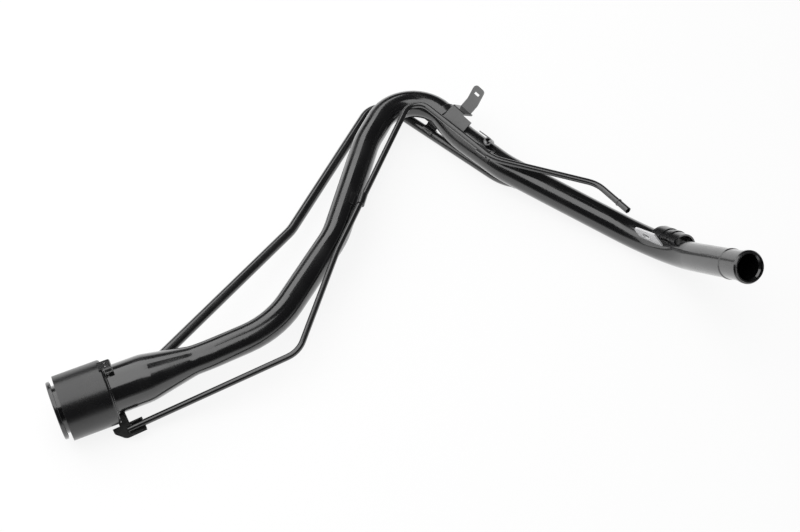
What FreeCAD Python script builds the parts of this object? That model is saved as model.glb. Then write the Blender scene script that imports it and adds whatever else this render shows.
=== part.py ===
import FreeCAD, Part
import math
import os
import re
import Sketcher

# Fuel filler neck: a wide sheet-steel neck in a round cup, drawn down to a bent filler pipe, with a
# vent pipe under it and a thin breather tube beside it, held by small welded clips and brackets.
# It lies on a flat surface: X runs along the longest side, Z is up, lengths in millimetres.

os.makedirs("parts", exist_ok=True)
DOC = FreeCAD.newDocument("fuel_filler_neck")
SHEET = DOC.addObject("Spreadsheet::Sheet", "Sizes")
Vector = FreeCAD.Vector

# Name, value, what it is.
SIZES = [
    ("lay_x", -1.114, "shift of every route point along X"),
    ("lay_y", 0.82, "shift of every route point along Y"),
    ("lay_z", 0.0, "shift of every route point along Z"),
    ("seat", 0.05, "clearance between pieces that seat in each other"),
    # Neck, cup and mouth.
    ("neck_radius", 23.0, "outside radius of the wide neck"),
    ("pipe_radius", 14.0, "outside radius of the filler pipe"),
    ("pipe_wall", 1.2, "wall of neck and filler pipe"),
    ("taper_start", 80.0, "neck length ahead of the taper, from the cup's front edge"),
    ("taper_length", 46.0, "length of the taper"),
    ("taper_round", 40.0, "rounding radius at both ends of the taper"),
    ("neck_tail", 5.4, "straight pipe left after the taper"),
    ("neck_lead", 3.0, "straight pipe between the neck and the first bend"),
    ("rim_proud", 7.2, "how far the mouth rim stands out of the cup"),
    ("rim_sheet", 1.3, "sheet of the mouth rim"),
    ("rim_overhang", 4.75, "how far the mouth rim stands out round the neck"),
    ("rim_curl", 3.5, "depth of the rim's turned edge"),
    ("rim_lip", 3.0, "how far the mouth rim reaches in from the neck's outside"),
    ("notch_width", 9.0, "width of the two cap notches"),
    ("cup_gap", 8.2, "distance from the neck's outside to the cup's outside"),
    ("cup_sheet", 1.2, "sheet of the cup"),
    ("cup_depth", 45.0, "depth of the cup over all"),
    ("cup_round", 2.6, "outside corner radius at the cup's back"),
    ("guide_sheet", 1.0, "sheet of the nozzle guide"),
    ("guide_start", 14.0, "place of the nozzle guide's front edge"),
    ("guide_depth", 13.0, "depth of the nozzle guide"),
    ("guide_hole", 12.0, "radius of the nozzle hole"),
    ("guide_lip", 5.0, "length of the lip behind the nozzle hole"),
    # Tank end.
    ("bead_crest", 15.4, "outside radius of the end bead"),
    ("bead_flat", 2.6, "width of the bead's crest"),
    ("bead_flank", 1.5, "length of each flank of a bead"),
    ("bead_back", 1.2, "straight lip ahead of the end bead"),
    ("stop_crest", 14.7, "outside radius of the hose stop bead"),
    ("stop_flat", 2.0, "width of the stop bead's crest"),
    ("stop_back", 31.0, "distance of the stop bead from the pipe's end"),
    # Small tubes.
    ("vent_radius", 5.25, "outside radius of the vent pipe"),
    ("vent_wall", 1.0, "wall of the vent pipe"),
    ("thin_radius", 3.15, "outside radius of the breather tube"),
    ("thin_wall", 0.8, "wall of the breather tube"),
    ("thin_bead", 3.75, "outside radius of the breather tube's bead"),
    ("thin_bead_width", 1.6, "width of the breather tube's bead"),
    ("thin_bead_back", 13.5, "distance of that bead from the tube's end"),
    # Tether tab on the cup.
    ("tab_roll", -18.0, "turn of the tab round the cup from straight up, degrees"),
    ("tab_sheet", 1.2, "sheet of the tether tab"),
    ("tab_width", 11.0, "width of the tab across the cup"),
    ("tab_seat", 3.5, "length of the tab that lies on the cup"),
    ("tab_reach", 9.0, "length of the tab behind the cup"),
    ("tab_drop", 7.0, "height of the tab's turned end"),
    ("tab_hole", 1.0, "radius of the two rivet holes"),
    ("tab_hole_space", 5.0, "distance between the rivet holes"),
    # Bracket that holds the front end of the breather tube.
    ("holder_roll", 30.4, "turn of the holder round the breather tube, degrees"),
    ("holder_sheet", 1.5, "sheet of the holder"),
    ("holder_ahead", 13.0, "length of the holder ahead of the tube's end"),
    ("holder_length", 16.0, "length of the holder along the tube"),
    ("holder_low", 7.4, "holder's lower edge under the tube's centre"),
    ("holder_high", 5.8, "holder's upper edge over the tube's centre"),
    ("holder_round", 7.5, "corner radius of the holder's slanted corner"),
    ("holder_turn", 4.6, "start of the holder's slanted corner ahead of the tube's end"),
    ("holder_flank", 1.0, "height of the slanted corner's end over the tube's centre"),
    ("holder_lip", 6.0, "height of the holder's turned edges"),
    ("holder_bend", 1.2, "bend radius of the holder"),
    ("arm_start", 3.5, "place of the arm's near edge from the tube's end"),
    ("arm_width", 9.5, "width of the holder's arm"),
    ("arm_reach", 25.0, "length of the holder's arm before it is cut to the neck"),
    ("upper_lip_start", 4.5, "start of the holder's upper turned edge"),
    ("upper_lip_length", 10.5, "length of the holder's upper turned edge"),
    # Clips between the filler pipe and the small tubes.
    ("clip_sheet", 1.2, "sheet of the clips"),
    ("clip_width", 13.0, "width of a clip along the pipe"),
    ("clip_spread", 64.0, "angle that a clip's foot covers on the pipe, degrees"),
    ("clip_wrap", 190.0, "angle that the vent clip covers on the vent pipe, degrees"),
    ("mid_clip_at", 369.0, "place of the middle clip along the filler pipe"),
    ("vent_clip_at", 562.0, "place of the vent clip along the filler pipe"),
    ("hook_clip_at", 642.0, "place of the hook along the filler pipe"),
    # Hanger bracket on the upper bend.
    ("hanger_at", 599.5, "place of the hanger along the filler pipe"),
    ("hanger_roll", 32.0, "turn of the hanger round the pipe from straight up, degrees"),
    ("hanger_sheet", 1.8, "sheet of the hanger"),
    ("hanger_front", 21.5, "hanger length ahead of its place"),
    ("hanger_rear", 8.0, "hanger length behind its place"),
    ("hanger_face", 13.4, "distance of the hanger's face from the pipe's centre"),
    ("hanger_rise", 19.5, "height of the hanger's corner over the pipe's centre"),
    ("hanger_low", 2.0, "height of the face's lower edge over the pipe's centre"),
    ("hanger_top", 16.0, "depth of the hanger's top"),
    ("hanger_slope", 4.5, "rise of the hanger's top from corner to ear"),
    ("hanger_bend", 2.0, "bend radius of the hanger"),
    ("top_margin", 2.5, "length of the hanger's top behind the ear"),
    ("ear_width", 14.5, "width of the hanger's ear"),
    ("ear_low", 10.0, "length of the ear's square part"),
    ("ear_high", 16.5, "length of the ear's leaning part"),
    ("ear_lean", 4.3, "sideways lean of the ear's end"),
    ("slit_at", 7.5, "place of the ear's slit from its end"),
    ("slit_length", 7.0, "length of the ear's slit"),
    ("slit_width", 2.4, "width of the ear's slit"),
    ("ear_round", 4.0, "corner radius of the ear's end"),
    ("band_at", 571.5, "place of the hanger's band along the pipe"),
    ("band_width", 8.5, "width of the band"),
    ("band_sheet", 1.5, "sheet of the band"),
    ("band_wrap", 118.0, "angle that the band covers on the pipe, degrees"),
    ("band_turn", -32.0, "turn of the band's middle round the pipe, degrees"),
    ("curl_radius", 4.3, "outside radius of the hook's curl"),
    ("curl_at", 637.0, "place of the hook's curl along the pipe"),
    ("curl_width", 9.0, "width of the hook strip"),
    ("curl_strip", 14.0, "straight length of the hook strip"),
    ("curl_rise", 15.8, "height of the hook strip over the pipe's centre"),
    ("curl_face", 19.0, "distance of the hook's outer edge from the pipe's centre"),
    # Lower bracket near the tank end.
    ("saddle_at", 852.0, "place of the lower bracket along the filler pipe"),
    ("saddle_roll", 40.0, "turn of the lower bracket round the pipe from straight up, degrees"),
    ("saddle_sheet", 1.6, "sheet of the lower bracket"),
    ("saddle_inner", 18.6, "inside radius of the bracket's arch"),
    ("saddle_front", 12.0, "arch length ahead of its place"),
    ("saddle_rear", 19.0, "arch length behind its place"),
    ("saddle_from", -168.0, "start angle of the arch round the pipe, degrees"),
    ("saddle_to", -22.0, "end angle of the arch round the pipe, degrees"),
    ("saddle_foot", 6.0, "angle that each foot of the arch covers, degrees"),
    ("saddle_rib", 0.9, "rise of the arch's pressed ribs"),
    ("broad_rib_at", -9.0, "start of the broad rib along the arch"),
    ("broad_rib", 9.0, "width of the broad rib"),
    ("narrow_rib_at", 6.0, "start of the narrow rib along the arch"),
    ("narrow_rib", 3.0, "width of the narrow rib"),
    ("lug_length", 29.0, "length of the bracket's lug"),
    ("lug_ahead", 24.0, "lug length ahead of the bracket's place"),
    ("lug_width", 21.5, "width of the lug"),
    ("lug_tilt", -20.0, "tilt of the lug, degrees"),
    ("lug_height", -0.5, "height of the lug's inner edge over the pipe's centre"),
    ("lug_offset", 12.6, "distance of the lug's inner edge from the pipe's centre"),
    ("lug_corner", 6.5, "corner radius of the lug"),
    ("lug_hole", 4.3, "radius of the lug's hole"),
    ("lug_hole_at", 12.5, "place of the hole from the lug's free end"),
]

# Corners of the three routes, where the straight runs would meet: name, x, y, z, bend radius.
ROUTES = {
    "main": [
        ("mouth", -308.0, -180.9, 31.2, 0.0),
        ("neck", -190.0, -130.2, 34.0, 100.0),
        ("low", -119.4, -91.6, 30.5, 100.0),
        ("mid", -64.3, 16.0, 28.5, 90.0),
        ("high", -34.4, 138.5, 27.0, 90.0),
        ("peak", 8.8, 235.4, 26.0, 38.5),
        ("back", 61.3, 149.6, 25.6, 90.0),
        ("run", 106.6, 106.4, 25.0, 90.0),
        ("turn", 266.0, 10.4, 10.2, 100.0),
        ("tank", 313.5, -91.2, 128.0, 0.0),
    ],
    "vent": [
        ("start", -230.2, -136.7, 34.2, 0.0),
        ("low", -109.0, 31.0, 18.0, 50.0),
        ("peak", -25.1, 217.2, 5.25, 23.0),
        ("rise", 108.0, 102.4, 5.25, 60.0),
        ("end", 127.5, 89.5, 20.0, 0.0),
    ],
    "thin": [
        ("start", -250.5, -191.0, 10.0, 0.0),
        ("low", -95.0, -119.4, 30.0, 26.0),
        ("mid", -61.5, -11.5, 41.0, 60.0),
        ("peak", 13.4, 188.4, 43.0, 15.0),
        ("run", 93.8, 100.0, 47.0, 40.0),
        ("drop", 197.0, 67.0, 47.5, 26.0),
        ("end", 223.7, 27.9, 55.0, 0.0),
    ],
}
for route, corners in ROUTES.items():
    for corner, x, y, z, radius in corners:
        SIZES += [
            (f"{route}_{corner}_x", x, f"{corner} corner of the {route} route"),
            (f"{route}_{corner}_y", y, f"{corner} corner of the {route} route"),
            (f"{route}_{corner}_z", z, f"{corner} corner of the {route} route"),
        ]
        if radius:
            SIZES.append((f"{route}_{corner}_bend", radius, f"bend radius at the {corner} corner"))

for row, (name, number, note) in enumerate(SIZES, start=1):
    SHEET.set(f"A{row}", name)
    SHEET.set(f"B{row}", str(number))
    SHEET.set(f"C{row}", note)
    SHEET.setAlias(f"B{row}", name)
DOC.recompute()
NAMES = {name for name, number, note in SIZES}


def size(name):
    """Value of a named size."""
    return float(SHEET.get(name))


def value(text):
    """Number for a sum of named sizes, numbers, products and quotients."""
    total = 0.0
    for sign, term in re.findall(r"([+-]?)\s*([^+-]+)", text):
        product = 1.0
        for operator, factor in re.findall(r"([*/]?)\s*([\w.]+)", term):
            number = size(factor) if factor in NAMES else float(factor)
            product = product / number if operator == "/" else product * number
        total += -product if sign == "-" else product
    return total


def bound(text):
    """The same sum as an expression on the sheet."""
    return re.sub(r"[a-z]\w*", lambda word: "Sizes." + word.group(0), text)


class Path:
    """Straight runs joined by tangent arcs through corners, with the sheet's name of each bend radius."""

    def __init__(self, corners, bends):
        self.pieces = []
        self.bends = bends
        radii = [size(bend) for bend in bends]
        start = corners[0]
        for before, corner, after, radius in zip(corners, corners[1:], corners[2:], radii):
            incoming = (corner - before).normalize()
            outgoing = (after - corner).normalize()
            turn = incoming.getAngle(outgoing)
            reach = radius * math.tan(turn / 2)
            enter = corner - incoming * reach
            leave = corner + outgoing * reach
            inward = (outgoing - incoming * incoming.dot(outgoing)).normalize()
            self.pieces.append(("line", start, enter))
            self.pieces.append(("arc", enter, leave, enter + inward * radius, radius, turn, incoming, inward))
            start = leave
        self.pieces.append(("line", start, corners[-1]))

    @staticmethod
    def piece_length(piece):
        """Length of one run or arc."""
        return (piece[2] - piece[1]).Length if piece[0] == "line" else piece[4] * piece[5]

    def length(self):
        """Developed length."""
        return sum(self.piece_length(piece) for piece in self.pieces)

    def at(self, distance):
        """Point and direction at a distance from the start."""
        for piece in self.pieces:
            reach = self.piece_length(piece)
            if distance <= reach or piece is self.pieces[-1]:
                break
            distance -= reach
        if piece[0] == "line":
            along = (piece[2] - piece[1]).normalize()
            return piece[1] + along * distance, along
        centre, radius, incoming, inward = piece[3], piece[4], piece[6], piece[7]
        angle = distance / radius
        point = centre - inward * (radius * math.cos(angle)) + incoming * (radius * math.sin(angle))
        return point, incoming * math.cos(angle) + inward * math.sin(angle)

    def nearest(self, point):
        """Distance along the path of its nearest point."""
        steps = 400
        total = self.length()
        near = min(range(steps + 1), key=lambda i: (self.at(total * i / steps)[0] - point).Length)
        low = max(0.0, total * (near - 1) / steps)
        high = min(total, total * (near + 1) / steps)
        for _ in range(40):
            third = (high - low) / 3
            if (self.at(low + third)[0] - point).Length < (self.at(high - third)[0] - point).Length:
                high -= third
            else:
                low += third
        return (low + high) / 2


def corner_points(route):
    """Corner points of a route, shifted to the part's frame, and the names of its bend radii."""
    shift = Vector(size("lay_x"), size("lay_y"), size("lay_z"))
    points = []
    bends = []
    for corner, x, y, z, radius in ROUTES[route]:
        name = f"{route}_{corner}"
        points.append(Vector(size(name + "_x"), size(name + "_y"), size(name + "_z")) + shift)
        if radius:
            bends.append(name + "_bend")
    return points, bends


def aimed(point, along, roll=0.0, toward=None):
    """Placement with Z along a direction and X turned by roll from straight up, or toward a point."""
    rise = Vector(0, 0, 1) if toward is None else toward - point
    rise = (rise - along * rise.dot(along)).normalize()
    side = along.cross(rise)
    angle = math.radians(roll)
    across = rise * math.cos(angle) + side * math.sin(angle)
    return FreeCAD.Placement(point, FreeCAD.Rotation(across, along.cross(across), along, "ZXY"))


def new_body(name, placement):
    """A body with its own place."""
    body = DOC.addObject("PartDesign::Body", name)
    body.Placement = placement
    return body


def new_sketch(body, role, lift="0"):
    """A sketch on one of the body's own planes, lifted off it by a named distance."""
    sketch = body.newObject("Sketcher::SketchObject", body.Name + "_sketch")
    plane = [feature for feature in body.Origin.OriginFeatures if feature.Role == role][0]
    sketch.AttachmentSupport = [(plane, "")]
    sketch.MapMode = "FlatFace"
    if lift != "0":
        sketch.AttachmentOffset = FreeCAD.Placement(Vector(0, 0, value(lift)), FreeCAD.Rotation())
        sketch.setExpression("AttachmentOffset.Base.z", bound(lift))
    return sketch


def tie(sketch, kind, item, spot, text):
    """Ties the x or y of a sketch point to the sheet."""
    if text == "0":
        axis = -2 if kind == "DistanceX" else -1
        sketch.addConstraint(Sketcher.Constraint("PointOnObject", item, spot, axis))
        return
    index = sketch.addConstraint(Sketcher.Constraint(kind, -1, 1, item, spot, value(text)))
    sketch.setExpression(f"Constraints[{index}]", bound(text))


def outline(sketch, corners):
    """Closed outline of straight edges with every corner tied to the sheet."""
    spots = [Vector(value(x), value(y), 0) for x, y in corners]
    first = sketch.GeometryCount
    count = len(spots)
    for i in range(count):
        sketch.addGeometry(Part.LineSegment(spots[i], spots[(i + 1) % count]), False)
    for i, (x, y) in enumerate(corners):
        sketch.addConstraint(Sketcher.Constraint("Coincident", first + i, 2, first + (i + 1) % count, 1))
        tie(sketch, "DistanceX", first + i, 1, x)
        tie(sketch, "DistanceY", first + i, 1, y)


def circle(sketch, x, y, radius):
    """Circle with its centre and radius tied to the sheet."""
    item = sketch.addGeometry(Part.Circle(Vector(value(x), value(y), 0), Vector(0, 0, 1), value(radius)), False)
    index = sketch.addConstraint(Sketcher.Constraint("Radius", item, value(radius)))
    sketch.setExpression(f"Constraints[{index}]", bound(radius))
    tie(sketch, "DistanceX", item, 3, x)
    tie(sketch, "DistanceY", item, 3, y)


def pad(body, sketch, length):
    """Pad of a named length."""
    feature = body.newObject("PartDesign::Pad", body.Name + "_pad")
    feature.Profile = sketch
    feature.Length = value(length)
    feature.setExpression("Length", bound(length))
    sketch.Visibility = False
    DOC.recompute()
    return feature


def pocket(body, sketch):
    """Cut through the whole body in both directions."""
    feature = body.newObject("PartDesign::Pocket", body.Name + "_pocket")
    feature.Profile = sketch
    feature.Type = "ThroughAll"
    feature.Midplane = True
    sketch.Visibility = False
    DOC.recompute()
    return feature


def turned(body, corners):
    """Full revolution of an outline (radius, place) about the body's Z axis."""
    sketch = new_sketch(body, "XZ_Plane")
    outline(sketch, corners)
    feature = body.newObject("PartDesign::Revolution", body.Name + "_turn")
    feature.Profile = sketch
    feature.ReferenceAxis = (sketch, ["V_Axis"])
    feature.Angle = 360.0
    sketch.Visibility = False
    DOC.recompute()
    return feature


def rounded(body, feature, radius, test):
    """Fillet on the edges of a feature that pass a test."""
    names = [f"Edge{i + 1}" for i, edge in enumerate(feature.Shape.Edges) if test(edge)]
    if not names:
        raise RuntimeError(f"no edge to round on {body.Name}")
    fillet = body.newObject("PartDesign::Fillet", body.Name + "_fillet")
    fillet.Base = (feature, names)
    fillet.Radius = value(radius)
    fillet.setExpression("Radius", bound(radius))
    DOC.recompute()
    return fillet


def ring_edge(radius, place):
    """Test for a circular edge of a given radius at a place along Z."""
    def test(edge):
        curve = edge.Curve
        return (isinstance(curve, Part.Circle) and abs(curve.Radius - radius) < 0.01
                and abs(curve.Center.z - place) < 0.01)
    return test


def straight_edge(axis, **spot):
    """Test for a straight edge along one axis that passes through given coordinates."""
    def test(edge):
        if not isinstance(edge.Curve, Part.Line):
            return False
        direction = edge.Curve.Direction
        if abs(abs(getattr(direction, axis)) - 1) > 1e-6:
            return False
        centre = edge.CenterOfMass
        return all(abs(getattr(centre, name) - place) < 0.01 for name, place in spot.items())
    return test


def swept(name, path, radius):
    """Round bar of a named radius along a path: a cylinder for each run, a ring sector for each bend."""
    bars = []
    bends = iter(path.bends)
    for number, piece in enumerate(path.pieces, start=1):
        if piece[0] == "line":
            bar = DOC.addObject("Part::Cylinder", f"{name}_run_{number}")
            bar.Radius = value(radius)
            bar.setExpression("Radius", bound(radius))
            bar.Height = (piece[2] - piece[1]).Length
            bar.Placement = aimed(piece[1], (piece[2] - piece[1]).normalize())
        else:
            centre, turn, incoming, inward = piece[3], piece[5], piece[6], piece[7]
            bar = DOC.addObject("Part::Torus", f"{name}_bend_{number}")
            bar.Radius1 = piece[4]
            bar.setExpression("Radius1", bound(next(bends)))
            bar.Radius2 = value(radius)
            bar.setExpression("Radius2", bound(radius))
            bar.Angle3 = math.degrees(turn)
            axis = incoming.cross(inward)
            bar.Placement = FreeCAD.Placement(centre, FreeCAD.Rotation(-inward, incoming, axis, "XYZ"))
        bars.append(bar)
    DOC.recompute()
    return fused(name, bars)


def fused(name, pieces):
    """Union of several pieces."""
    union = DOC.addObject("Part::MultiFuse", name)
    union.Shapes = pieces
    union.Refine = True
    DOC.recompute()
    return union


def cut(name, base, tool):
    """One piece less another."""
    result = DOC.addObject("Part::Cut", name)
    result.Base = base
    result.Tool = tool
    result.Refine = True
    DOC.recompute()
    return result


# Radii that follow the neck's own.
CUP = "neck_radius + cup_gap"
RIM = "neck_radius + rim_overhang"
MOUTH = "neck_radius - rim_lip"

# Routes as paths. The filler pipe is bent from the end of the neck on.
main_points, main_bends = corner_points("main")
neck_along = (main_points[1] - main_points[0]).normalize()
neck_frame = aimed(main_points[0], neck_along)
neck_end = value("taper_start + taper_length + neck_tail")
first_turn = neck_along.getAngle(main_points[2] - main_points[1])
main_points[1] = main_points[0] + neck_along * (neck_end + size(main_bends[0]) * math.tan(first_turn / 2) + size("neck_lead"))
MAIN = Path(main_points, main_bends)
pipe_start = neck_frame.multVec(Vector(0, 0, neck_end))
PIPE = Path([pipe_start] + main_points[1:], main_bends)
overrun = (main_points[-1] - main_points[-2]).normalize() * 1.0
BORE = Path([pipe_start] + main_points[1:-1] + [main_points[-1] + overrun], main_bends)
tank_end, tank_along = MAIN.at(MAIN.length())
tank_frame = aimed(tank_end, tank_along)

vent_points, vent_bends = corner_points("vent")
VENT = Path(vent_points, vent_bends)
thin_points, thin_bends = corner_points("thin")
THIN = Path(thin_points, thin_bends)
thin_ahead = (thin_points[1] - thin_points[0]).normalize() * 1.0
thin_past = (thin_points[-1] - thin_points[-2]).normalize() * 1.0
THIN_BORE = Path([thin_points[0] - thin_ahead] + thin_points[1:-1] + [thin_points[-1] + thin_past], thin_bends)


def neck_form(name, less, front):
    """Solid form of neck and taper, less a wall, from a front place on."""
    body = new_body(name, neck_frame)
    wide = "neck_radius" + less
    narrow = "pipe_radius" + less
    end = "taper_start + taper_length + neck_tail"
    turn = turned(body, [("0", front), (wide, front), (wide, "taper_start"),
                         (narrow, "taper_start + taper_length"), (narrow, end), ("0", end)])
    wide_edge = ring_edge(value(wide), value("taper_start"))
    narrow_edge = ring_edge(value(narrow), value("taper_start + taper_length"))
    rounded(body, turn, "taper_round", lambda edge: wide_edge(edge) or narrow_edge(edge))
    return body


def bead_form(name, crest, flat, back, less):
    """Solid form of a pressed bead near the pipe's end, less a wall."""
    body = new_body(name, tank_frame)
    foot = "pipe_radius - pipe_wall / 2" + less
    side = "pipe_radius" + less
    top = crest + less
    turned(body, [
        (foot, f"-{back}"), (side, f"-{back}"), (top, f"-{back} - bead_flank"),
        (top, f"-{back} - bead_flank - {flat}"), (side, f"-{back} - bead_flank - {flat} - bead_flank"),
        (foot, f"-{back} - bead_flank - {flat} - bead_flank")])
    return body


# Filler pipe with its wide neck, one drawn and bent tube.
main_outer = fused("main_outer", [
    neck_form("neck_outer", "", "-rim_proud + rim_sheet"),
    swept("pipe_outer", PIPE, "pipe_radius"),
    bead_form("end_bead_outer", "bead_crest", "bead_flat", "bead_back", ""),
    bead_form("stop_bead_outer", "stop_crest", "stop_flat", "stop_back", ""),
])
vent_outer = swept("vent_outer", VENT, "vent_radius")
vent_inner = swept("vent_inner", VENT, "vent_radius - vent_wall")
main_inner = fused("main_inner", [
    neck_form("neck_inner", " - pipe_wall", "-rim_proud"),
    swept("pipe_inner", BORE, "pipe_radius - pipe_wall"),
    bead_form("end_bead_inner", "bead_crest", "bead_flat", "bead_back", " - pipe_wall"),
    bead_form("stop_bead_inner", "stop_crest", "stop_flat", "stop_back", " - pipe_wall"),
    vent_inner,
])
main_pipe = cut("main_pipe", main_outer, main_inner)

# Vent pipe, saddle-cut to the filler pipe at both ends.
vent_tube = cut("vent_tube", vent_outer, vent_inner)
vent_pipe = cut("vent_pipe", vent_tube, main_outer)

# Breather tube with a hose bead near its free end.
thin_frame = aimed(*THIN.at(THIN.length()))
thin_bead_body = new_body("breather_bead", thin_frame)
bead_turn = turned(thin_bead_body, [
    ("0", "-thin_bead_back"), ("thin_bead", "-thin_bead_back"),
    ("thin_bead", "-thin_bead_back - thin_bead_width"), ("0", "-thin_bead_back - thin_bead_width")])
rounded(thin_bead_body, bead_turn, "thin_bead_width / 3",
        lambda edge: isinstance(edge.Curve, Part.Circle) and abs(edge.Curve.Radius - size("thin_bead")) < 0.01)
thin_outer = fused("thin_outer", [swept("breather_bar", THIN, "thin_radius"), thin_bead_body])
breather_tube = cut("breather_tube", thin_outer, swept("breather_bore", THIN_BORE, "thin_radius - thin_wall"))

# Cup round the neck, one drawn sheet, with the neck through its back.
collar_cup = new_body("collar_cup", neck_frame)
cup_turn = turned(collar_cup, [
    (CUP + " - cup_sheet", "0"), (CUP, "0"), (CUP, "cup_depth"),
    ("neck_radius + seat", "cup_depth"), ("neck_radius + seat", "cup_depth - cup_sheet"),
    (CUP + " - cup_sheet", "cup_depth - cup_sheet")])
cup_back = rounded(collar_cup, cup_turn, "cup_round", ring_edge(value(CUP), size("cup_depth")))
rounded(collar_cup, cup_back, "cup_round - cup_sheet",
        ring_edge(value(CUP + " - cup_sheet"), value("cup_depth - cup_sheet")))

# Mouth rim: a ring folded over the neck's edge, with two notches for a bayonet cap.
mouth_rim = new_body("mouth_rim", neck_frame)
rim_turn = turned(mouth_rim, [
    (MOUTH, "-rim_proud"), (RIM, "-rim_proud"), (RIM, "-rim_proud + rim_curl"),
    (RIM + " - rim_sheet", "-rim_proud + rim_curl"), (RIM + " - rim_sheet", "-rim_proud + rim_sheet"),
    (MOUTH, "-rim_proud + rim_sheet")])
rim_round = rounded(mouth_rim, rim_turn, "rim_sheet * 0.9", ring_edge(value(RIM), value("-rim_proud")))
notches = new_sketch(mouth_rim, "XY_Plane")
outline(notches, [("-notch_width / 2", "-neck_radius + pipe_wall"), ("notch_width / 2", "-neck_radius + pipe_wall"),
                  ("notch_width / 2", "neck_radius - pipe_wall"), ("-notch_width / 2", "neck_radius - pipe_wall")])
pocket(mouth_rim, notches)

# Nozzle guide: a pressed cup with a lipped hole, seated inside the neck.
nozzle_guide = new_body("nozzle_guide", neck_frame)
fit = "neck_radius - pipe_wall - seat"
turned(nozzle_guide, [
    (fit + " - guide_sheet", "guide_start"), (fit, "guide_start"), (fit, "guide_start + guide_depth"),
    ("guide_hole + guide_sheet", "guide_start + guide_depth"),
    ("guide_hole + guide_sheet", "guide_start + guide_depth + guide_lip"),
    ("guide_hole", "guide_start + guide_depth + guide_lip"),
    ("guide_hole", "guide_start + guide_depth - guide_sheet"),
    (fit + " - guide_sheet", "guide_start + guide_depth - guide_sheet")])

# Tether tab on the cup's back edge: a folded strip with two rivet holes.
along_neck = neck_frame.Rotation.multVec(Vector(0, 0, 1))
tab_frame = aimed(neck_frame.Base, along_neck, size("tab_roll"))
tab_body = new_body("tab_body", tab_frame)
tab_profile = new_sketch(tab_body, "XZ_Plane", "-tab_width / 2")
low = CUP
high = CUP + " + tab_sheet"
back = "cup_depth + tab_reach"
outline(tab_profile, [
    (low, "cup_depth - tab_seat"), (high, "cup_depth - tab_seat"), (high, back),
    (high + " - tab_drop", back), (high + " - tab_drop", back + " - tab_sheet"), (low, back + " - tab_sheet")])
tab_pad = pad(tab_body, tab_profile, "tab_width")
tab_bend = rounded(tab_body, tab_pad, "tab_sheet * 2", straight_edge("y", x=value(high), z=value(back)))
rounded(tab_body, tab_bend, "tab_sheet", straight_edge("y", x=value(low), z=value(back + " - tab_sheet")))
tab_holes = new_sketch(tab_body, "YZ_Plane")
circle(tab_holes, "-tab_hole_space / 2", "cup_depth + tab_reach / 2 - tab_sheet", "tab_hole")
circle(tab_holes, "tab_hole_space / 2", "cup_depth + tab_reach / 2 - tab_sheet", "tab_hole")
pocket(tab_body, tab_holes)
cup_form = new_body("cup_form", neck_frame)
turned(cup_form, [("0", "0"), (CUP, "0"), (CUP, "cup_depth"), ("0", "cup_depth")])
tether_tab = cut("tether_tab", tab_body, cup_form)

# Holder at the front end of the breather tube: a flat plate with an arm to the neck and two turned edges.
start_point, start_along = THIN.at(0.0)
holder_frame = aimed(start_point, start_along, size("holder_roll"))
holder_body = new_body("holder_body", holder_frame)
plate = new_sketch(holder_body, "YZ_Plane", "-thin_radius - holder_sheet")
outline(plate, [
    ("holder_low", "-holder_turn"), ("holder_low", "holder_length"), ("-holder_high", "holder_length"),
    ("-holder_high", "arm_start"), ("-arm_reach", "arm_start"), ("-arm_reach", "arm_start - arm_width"),
    ("-holder_high", "arm_start - arm_width"), ("-holder_high", "-holder_ahead"),
    ("-holder_flank", "-holder_ahead")])
plate_pad = pad(holder_body, plate, "holder_sheet")
plate_round = rounded(holder_body, plate_pad, "holder_round",
                      straight_edge("x", y=size("holder_low"), z=-size("holder_turn")))
plate_nose = rounded(holder_body, plate_round, "holder_lip / 2",
                     straight_edge("x", y=-size("holder_flank"), z=-size("holder_ahead")))
lower = new_sketch(holder_body, "XY_Plane")
outline(lower, [
    ("-thin_radius - holder_sheet", "holder_low - holder_sheet"), ("-thin_radius - holder_sheet", "holder_low"),
    ("-thin_radius + holder_lip", "holder_low"), ("-thin_radius + holder_lip", "holder_low - holder_sheet")])
pad(holder_body, lower, "holder_length")
upper = new_sketch(holder_body, "XY_Plane", "upper_lip_start")
outline(upper, [
    ("-thin_radius - holder_sheet", "-holder_high"), ("-thin_radius - holder_sheet", "-holder_high + holder_sheet"),
    ("-thin_radius + holder_lip", "-holder_high + holder_sheet"), ("-thin_radius + holder_lip", "-holder_high")])
upper_pad = pad(holder_body, upper, "upper_lip_length")
fold_x = value("-thin_radius - holder_sheet")
lower_fold = straight_edge("z", x=fold_x, y=size("holder_low"))
upper_fold = straight_edge("z", x=fold_x, y=-size("holder_high"))
rounded(holder_body, upper_pad, "holder_bend", lambda edge: lower_fold(edge) or upper_fold(edge))
breather_holder = cut("breather_holder", cut("holder_seated", holder_body, main_outer), cup_form)


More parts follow.
